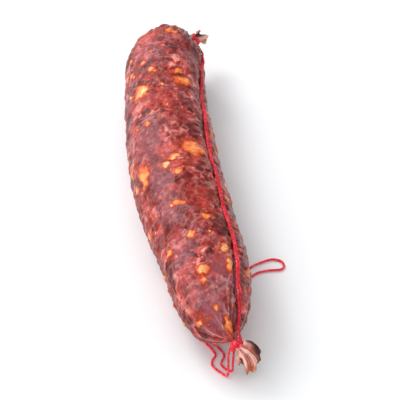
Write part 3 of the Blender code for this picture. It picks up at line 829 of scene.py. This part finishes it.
# %% Casing material
def cured_casing():
    """Cured meat and fat seen through a dry natural casing."""
    made, tree, shader = new_material("cured meat in dry natural casing")
    place = add(tree, "ShaderNodeTexCoord", out="Object")
    own_tone, wrinkle, speck, fatty, shade, crease, pleat, bloom_and_sheen, lean, stain = [
        add(tree, "ShaderNodeAttribute", out="Fac", attribute_name=name)
        for name in ("own tone", "wrinkle", "speck", "fatty", "shade", "crease", "pleat", "bloom_and_sheen", "lean",
                     "stain")]

    def spots(order, size, low, high):
        """Spots of about that size in millimetres, each order with its own pattern."""
        tone = add(tree, "ShaderNodeTexNoise", {"Vector": place, "W": 3.7 * order, "Scale": 1 / (size * MM),
                                                "Detail": 3.0, "Roughness": 0.6}, out="Fac",
                   noise_dimensions="4D")
        return add(tree, "ShaderNodeMapRange", {"Value": tone, "From Min": low, "From Max": high}, **EASED)

    # tone of the meat: the crumbs' own, that of smaller cells, and clouds
    cells = add(tree, "ShaderNodeTexVoronoi", {"Vector": place, "Scale": 1 / (CELLS[0] * MM),
                                               "Smoothness": 0.4}, out="Color", feature="SMOOTH_F1")
    cells = add(tree, "ShaderNodeSeparateXYZ", {0: cells}, out="X")
    clouds = add(tree, "ShaderNodeTexNoise", {"Vector": place, "Scale": 1 / (CLOUDS[0] * MM), "Detail": 5.0,
                                              "Roughness": 0.65, "Distortion": 0.8}, out="Fac")
    clouds = add(tree, "ShaderNodeMapRange", {"Value": clouds, "From Min": 0.37, "From Max": 0.63})
    tone = own_tone
    for share, other in ((CELLS[1], cells), (CLOUDS[1], clouds)):
        tone = add(tree, "ShaderNodeMix", {"Factor": share, "A": tone, "B": other}, **NUMBER)
    ramp = tree.nodes.new("ShaderNodeValToRGB")
    feed(tree, ramp, {"Fac": tone})
    while len(ramp.color_ramp.elements) < len(MEAT_TONES):
        ramp.color_ramp.elements.new(0.5)
    for stop, (spot, shown) in zip(ramp.color_ramp.elements, MEAT_TONES):
        stop.position = spot
        stop.color = linear(shown)

    # what the layers' shares are made of
    grain = add(tree, "ShaderNodeTexNoise", {"Vector": place, "Scale": 1 / (GRAIN * MM), "Detail": 3.0},
                out="Fac")
    broken, uneven, rough = [
        add(tree, "ShaderNodeMapRange", {"Value": grain, "From Min": low, "From Max": high, "To Min": least,
                                         "To Max": most})
        for low, high, least, most in (BROKEN, UNEVEN, ROUGH)]
    stained = add(tree, "ShaderNodeMapRange", {"Value": stain, "From Min": 0.05, "From Max": 0.7,
                                               "To Max": STAIN_LAYER[4]})
    soft = add(tree, "ShaderNodeMapRange", {"Value": speck, "From Min": 0.05, "From Max": 0.6}, **EASED)
    deep = add(tree, "ShaderNodeMath", {0: fatty, 1: uneven}, operation="ADD")
    rims = [add(tree, "ShaderNodeMapRange", {"Value": deep, "From Min": low, "From Max": high}, **EASED)
            for low, high, _, _ in FAT_LAYERS]
    core = add(tree, "ShaderNodeMapRange", {"Value": deep, "From Min": 0.26, "From Max": 0.68}, **EASED)
    marbled = add(tree, "ShaderNodeTexNoise", {"Vector": place, "Scale": 1 / (MARBLING * MM), "Detail": 3.0,
                                               "Roughness": 0.65}, out="Fac")
    marbled = add(tree, "ShaderNodeMapRange", {"Value": marbled, "From Min": 0.40, "From Max": 0.60,
                                               "To Min": 0.35}, **EASED)
    inner = add(tree, "ShaderNodeMath", {0: core, 1: marbled}, operation="MULTIPLY")
    in_fat = add(tree, "ShaderNodeMapRange", {"Value": deep, "From Min": 0.2, "From Max": 0.4,
                                              "To Max": FAT_SPOTS[4]})

    # the layers from the meat up: two numbers or patterns whose product is the share, and the colour
    layers = [(spots(*layer[:4]), layer[4], layer[5]) for layer in MEAT_LAYERS]
    # lean zones, which along the sides are painted shade, and bloom zones, partly painted sheen
    layers += [(lean, broken, LEAN_AND_SIDE_SHADE), (bloom_and_sheen, broken, BLOOM_AND_SHEEN)]
    layers += [(spots(*STAIN_LAYER[:4]), stained, STAIN_LAYER[5])]
    layers += [(spots(*layer[:4]), layer[4], layer[5]) for layer in SURFACE_LAYERS]
    # painted highlight on wrinkles and pleat ridges, small bits of fat, painted shade in creases and pleat
    # valleys
    layers += [(wrinkle, 0.3, WRINKLE_HIGHLIGHT), (soft, 0.5, SPECK), (pleat, 0.6, PLEAT_HIGHLIGHT), (crease, 0.8, CREASE_SHADE)]
    layers += [(rim, share, shown) for rim, (_, _, share, shown) in zip(rims, FAT_LAYERS)]
    layers += [(inner, 1.0, FAT_ORANGE), (inner, shade, FAT_YELLOW)]
    layers += [(spots(*FAT_SPOTS[:4]), in_fat, FAT_SPOTS[5])]
    colour = ramp.outputs["Color"]
    for pattern, share, shown in layers:
        share = add(tree, "ShaderNodeMath", {0: pattern, 1: share}, operation="MULTIPLY")
        colour = add(tree, "ShaderNodeMix", {"Factor": share, "A": colour, "B": linear(shown)},
                     data_type="RGBA")

    fine = add(tree, "ShaderNodeTexNoise", {"Vector": place, "Scale": 1 / (SKIN_GRAIN * MM), "Detail": 3.0,
                                            "Roughness": 0.6}, out="Fac")
    bump = add(tree, "ShaderNodeBump", {"Height": fine, "Strength": 1.0, "Distance": SKIN_RELIEF * MM})
    feed(tree, shader, {"Base Color": colour, "Roughness": rough, "Subsurface Weight": 0.1,
                        "Subsurface Radius": (1.0, 0.35, 0.2), "Subsurface Scale": 1.0 * MM,
                        "Specular IOR Level": 0.22, "Normal": bump})
    return made


CURED_CASING = cured_casing()
casing = grow("casing_skin", casing_loft, FILLING_TREE, {**FILLING, "Finish": CURED_CASING})
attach(casing, "root")
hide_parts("casing")
casing.data.calc_loop_triangles()
print("casing:", len(casing.data.loop_triangles), "triangles")

# %% [markdown]
# ## Side twine
#
# From tie to tie the twine runs along the hollow side of the bend, doubled, and has settled into the casing.
# Its two strands are laid on the finished casing: rays find how far out the skin is all along the route, and
# a running maximum makes the twine bridge the hollows, as a taut string does.

# %% Lay the side twine
STRAND_ASIDE, STRAND_END, STRAND_STEP = 0.47 * MM, 0.8 * MM, 0.7 * MM
# how far from a tie the strands have parted, and from where they are taut
PARTED, TAUT = 6 * MM, 12 * MM
# share of its thickness by which the twine's middle is above the skin
STANDS_OUT = 0.22
SPAN, ROUNDING = 3, 12
RAY_START = 5 * MM
skin = BVHTree.FromPolygons([v.co for v in casing.data.vertices], [p.vertices for p in casing.data.polygons])


def side_strand(aside):
    """Points of one strand from tie to tie, on the casing."""
    places = np.linspace(LOWER_AT + STRAND_END, UPPER_AT - STRAND_END, 400)
    centre, radius, along, up, right = frames(places)
    ends = np.minimum(places - LOWER_AT, UPPER_AT - places)
    angles = twine_angles(places) + aside * smooth(ends / PARTED) / radius
    out = np.cos(angles)[:, None] * up + np.sin(angles)[:, None] * right
    reach = []
    for middle, girth, away in zip(centre, radius, out):
        hit = skin.ray_cast(Vector(middle + (girth + RAY_START) * away), Vector(-away))[0]
        reach.append(np.linalg.norm(np.array(hit) - middle) if hit else girth)
    reach = np.maximum(reach, radius.min() + TWINE)
    taut = np.array([max(reach[max(0, i - SPAN):i + SPAN + 1]) for i in range(len(reach))])
    taut = reach + (taut - reach) * smooth(ends / TAUT)
    for _ in range(ROUNDING):
        taut[1:-1] = (taut[:-2] + 2 * taut[1:-1] + taut[2:]) / 4
    return evenly(centre + (taut + STANDS_OUT * TWINE)[:, None] * out, STRAND_STEP)


for name, aside in (("side_twine_inner", -STRAND_ASIDE), ("side_twine_outer", STRAND_ASIDE)):
    strand = lay_twine(name + "_plied", side_strand(aside), SIDE_TWINE)
    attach(strand, "root")
    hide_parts(name)
    print(name, len(strand.data.polygons), "faces")

# %% [markdown]
# ## Ties
#
# Each neck is tied the way a butcher ties it: a few close turns, one turn that crosses back over them, and a
# knot on top. All of it is twine again, so each tie is only a route: a coil round the neck, half a turn on
# the way back and a trefoil curve pulled tight, which is what a simple knot is. From the lower tie two short
# legs run to the ends of the loose loop.

# %% Wind the ties
TIE_TURNS, TURN_PITCH, BACK_TURN = 3.3, 0.9, 0.62
TIE_GAP, TIE_STEP = 0.15 * MM, 0.3 * MM
# in twine thicknesses: how far the last turn climbs, and how high the knot sits
CLIMB, KNOT_SEAT = 0.75, 1.3
KNOT_REACH, KNOT_FLAT, KNOT_WIDE = 0.40 * MM, 0.8, 0.9
# towards which side of the neck each knot faces
KNOTS = (("lower_tie", LOWER_NECK, (-0.5, -0.5, 0.7)), ("upper_tie", UPPER_NECK, (-0.2, -0.4, 0.9)))
LOOP_LEGS = (((18.7, -78.8, 13.0), (17.9, -78.9, 12.2), LOOP_DROP[0], (17.2, -79.5, 10.4)),
             ((19.9, -78.1, 12.3), (19.4, -77.4, 11.2), LOOP_RISE[-1], (19.1, -77.8, 9.4)))


def tie_routes(neck, knot_faces):
    """Points of the turns round a neck and of the knot on them."""
    middle = STATIONS[list(neck), :3].mean(axis=0)
    axis = STATIONS[neck[1], :3] - STATIONS[neck[0], :3]
    axis = axis / np.linalg.norm(axis)
    side = np.array(knot_faces, float)
    side -= axis * (side @ axis)
    side /= np.linalg.norm(side)
    across = np.cross(axis, side)
    inner = STATIONS[neck[0], 3] + TIE_GAP
    half = TIE_TURNS * TURN_PITCH * TWINE / 2
    t = np.linspace(0, 1, 120)
    back = np.linspace(0, 1, 24)[1:]
    angle = 2 * math.pi * np.concatenate([TIE_TURNS * t, TIE_TURNS + BACK_TURN * back])[:, None]
    place = np.concatenate([half * (2 * t - 1), half * (1 - 2 * back)])[:, None]
    reach = inner + TWINE * np.concatenate([np.full(len(t), 0.5), 0.5 + CLIMB * smooth(back * 3)])[:, None]
    turns = middle + axis * place + reach * (side * np.cos(angle) + across * np.sin(angle))
    t = np.linspace(0, 2 * math.pi, 90, endpoint=False)
    trefoil = np.stack([np.sin(3 * t), np.sin(t) + 2 * np.sin(2 * t), np.cos(t) - 2 * np.cos(2 * t)], -1)
    seat = middle + side * (inner + KNOT_SEAT * TWINE)
    knot = seat + trefoil * KNOT_REACH @ np.stack([side * KNOT_FLAT, across * KNOT_WIDE, axis])
    return turns, np.concatenate([knot, knot[:3]])


def join(name, pieces):
    """One object of several plain mesh ones."""
    whole = bmesh.new()
    for piece in pieces:
        whole.from_mesh(piece.data)
    mesh = bpy.data.meshes.new(name)
    whole.to_mesh(mesh)
    whole.free()
    mesh.materials.append(pieces[0].data.materials[0])
    for piece in pieces:
        bpy.data.objects.remove(piece)
    return placed(name, mesh)


for name, neck, knot_faces in KNOTS:
    routes = [*tie_routes(neck, knot_faces)]
    if neck == LOWER_NECK:
        routes += [evenly(np.array(leg) * MM, 0.5 * MM) for leg in LOOP_LEGS]
    tie = join(name + "_wound", [lay_twine(name + "_part", route, step=TIE_STEP) for route in routes])
    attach(tie, "root")
    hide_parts(name)
    print(name, len(tie.data.polygons), "faces")

# %% [markdown]
# ## Tufts of dry casing
#
# Beyond each tie the empty casing sticks out as a tuft. Dry gut is stiff as paper: it keeps the folds that
# the twine pressed into it and crumples between them, one side has torn open so that its inside shows, and
# elsewhere the rim has curled over and dried brown. Each tuft is a tube of thin skin, inside and outside,
# with folds that open towards the rim.

# %% Dry gut material
# pale fold ridges are a painted highlight, their valleys painted shade; the inside is painted shade too
GUT_LIT_RIDGE, GUT_SHADED_VALLEY, GUT_MOTTLE = "FFD2C4", "B85E50", "F4AC9A"
GUT_LIP, GUT_TIP, GUT_INSIDE_SHADE = "46120E", "C8602A", "6C3234"
MOTTLE_SIZE = 3.0 * MM


def dry_gut():
    """Dry gathered casing: brown-pink, with painted highlight on its fold ridges, painted shade in their
    valleys and inside, and dark on its curled lip.
    """
    made, tree, shader = new_material("dry gathered natural casing")
    place = add(tree, "ShaderNodeTexCoord", out="Object")
    valley, lip, tip, inside = [add(tree, "ShaderNodeAttribute", out="Fac", attribute_name=name)
                                for name in ("valley", "lip", "tip", "inside")]
    mottle = add(tree, "ShaderNodeTexNoise", {"Vector": place, "Scale": 1 / MOTTLE_SIZE, "Detail": 4.0},
                 out="Fac")
    spread = add(tree, "ShaderNodeMapRange", {"Value": mottle, "From Min": 0.45, "From Max": 0.65,
                                              "To Max": 0.7})
    gut = linear(GUT_LIT_RIDGE)
    for share, shown in ((valley, GUT_SHADED_VALLEY), (spread, GUT_MOTTLE), (tip, GUT_TIP), (lip, GUT_LIP),
                         (inside, GUT_INSIDE_SHADE)):
        gut = add(tree, "ShaderNodeMix", {"Factor": share, "A": gut, "B": linear(shown)}, data_type="RGBA")
    bump = add(tree, "ShaderNodeBump", {"Height": mottle, "Strength": 0.5, "Distance": 0.3 * MM})
    feed(tree, shader, {"Base Color": gut, "Roughness": 0.45, "Specular IOR Level": 0.3, "Normal": bump})
    return made


DRY_GUT = dry_gut()
print("dry gut has", len(DRY_GUT.node_tree.nodes), "nodes")

# %% [markdown]
# A tuft is built ring by ring from the neck to the rim and back inside. Two places round it are singled out
# by their angle: the lip, where the rim flares and curls, and the tear, where the wall is short.

# %% Form the tufts
TUFT_ROWS, TUFT_SIDES = 48, 128
TUFT_OPENS = (1.2 * MM, 6 * MM)
TUFT_FOLDS, TUFT_FOLD_DEPTH = 5, 0.17
TUFT_CREASES, TUFT_CREASE_DEPTH = 17, 0.13
CRUMPLE_SIZE, CRUMPLE_DEPTH = 2.6 * MM, 0.75 * MM
SKIN, LEAST_INSIDE = 0.45 * MM, 0.2 * MM
RIM_JAG, JAG_WAVES = 1.6 * MM, 2.2
LIP_FLARE, LIP_WIDTH, LIP_CUT, LIP_CURL = 3.2 * MM, 0.42, 0.66, 1.8 * MM
TEAR_WIDTH, TEAR_CUT = 0.62, 0.66
TIP_ASIDE, TIP_WIDTH = 1.0, 0.8


def tuft(name, start, end, lip_at, tear_at, seed):
    """Crumpled open tube of thin skin from a neck to its ragged rim."""
    angle = np.linspace(0, 2 * math.pi, TUFT_SIDES, endpoint=False)[None]
    t = np.linspace(0, 1, TUFT_ROWS)[:, None]
    lip = hill(wrap(angle - lip_at), LIP_WIDTH)
    tear = hill(wrap(angle - tear_at), TEAR_WIDTH, 4)
    places = start + (end - start) * t * (1 - LIP_CUT * lip) * (1 - TEAR_CUT * tear)
    known = np.linspace(min(start, end), max(start, end), 200)
    table = np.concatenate([a.reshape(200, -1) for a in frames(known)], 1)
    values = np.stack([np.interp(places, known, column) for column in table.T], -1)
    centre, radius, along, up, right = np.split(values, (3, 4, 7, 10), -1)
    radius, outward = radius[..., 0], along * (1 if end > start else -1)
    out = np.cos(angle)[..., None] * up + np.sin(angle)[..., None] * right

    open_up = rise(np.abs(places - start), *TUFT_OPENS)
    folds = np.cos(TUFT_FOLDS * angle + 0.8 * np.sin(2 * angle))
    creases = 1 - 2 * np.abs(np.sin(TUFT_CREASES * angle / 2 + 1.3 * np.sin(3 * angle + seed)))
    relief = TUFT_FOLD_DEPTH * folds + TUFT_CREASE_DEPTH * creases
    reach = radius * (1 + open_up * relief) + LIP_FLARE * lip * rise(t, 0.1, 0.8)
    skin_at = (centre + reach[..., None] * out).reshape(-1, 3)
    crumple = np.array([noise.noise(Vector(point) / CRUMPLE_SIZE) for point in skin_at]).reshape(reach.shape)
    reach = reach + CRUMPLE_DEPTH * crumple * smooth(t / 0.3)
    ragged = np.array([noise.noise(Vector((JAG_WAVES * math.cos(a), JAG_WAVES * math.sin(a), seed)))
                       for a in angle[0]])[None]
    curl = LIP_CURL * lip * (smooth(t / 0.7) - 1.3 * rise(t, 0.7, 0.3))
    shift = (t**3 * RIM_JAG * ragged - curl)[..., None] * outward
    outer = centre + reach[..., None] * out + shift
    inner = centre + np.maximum(reach - SKIN, LEAST_INSIDE)[..., None] * out + shift

    # the outside from the neck to the rim, then the inside back to a bottom some way from the neck
    bottom = TUFT_ROWS // 5
    rings = np.concatenate([outer, inner[bottom:][::-1]])
    rings[..., 2] = np.maximum(rings[..., 2], 0)
    # painted shade in the fold valleys
    valley = smooth(0.5 - 1.3 * relief / (TUFT_FOLD_DEPTH + TUFT_CREASE_DEPTH) - crumple)
    notes = {"valley": valley * smooth(t / 0.3 + 0.3),
             "lip": smooth(1.3 * lip) * rise(t, 0.50, 0.30),
             "tip": rise(t, 0.55, 0.30) * hill(wrap(angle - tear_at - TIP_ASIDE), TIP_WIDTH)}
    notes = {label: np.concatenate([noted, noted[bottom:][::-1]]) for label, noted in notes.items()}
    # painted shade inside the tube, least at the rim
    inside_shade = np.broadcast_to(1 - 0.8 * rise(t, 0.9, 0.1), (TUFT_ROWS, TUFT_SIDES))
    notes["inside"] = np.concatenate([np.zeros((TUFT_ROWS, TUFT_SIDES)), inside_shade[bottom:][::-1]])
    ends = (centre[0, :1], centre[bottom].mean(axis=0)[None])
    mesh = tube_mesh(name, rings, ends, notes, (0, 1))

    # the lower tuft runs the other way, so its faces are turned outwards
    shape = bmesh.new()
    shape.from_mesh(mesh)
    bmesh.ops.recalc_face_normals(shape, faces=shape.faces)
    for face in shape.faces:
        face.smooth = True
    shape.to_mesh(mesh)
    shape.free()
    mesh.materials.append(DRY_GUT)
    made = placed(name, mesh)
    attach(made, "root")
    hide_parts("casing")
    print(name, len(mesh.polygons), "faces")


tuft("lower_tuft", LOWER_AT, STATION_AT[0], math.radians(48), math.radians(-103), 0.7)
tuft("upper_tuft", UPPER_AT, STATION_AT[-1], math.radians(20), math.radians(-110), 4.2)
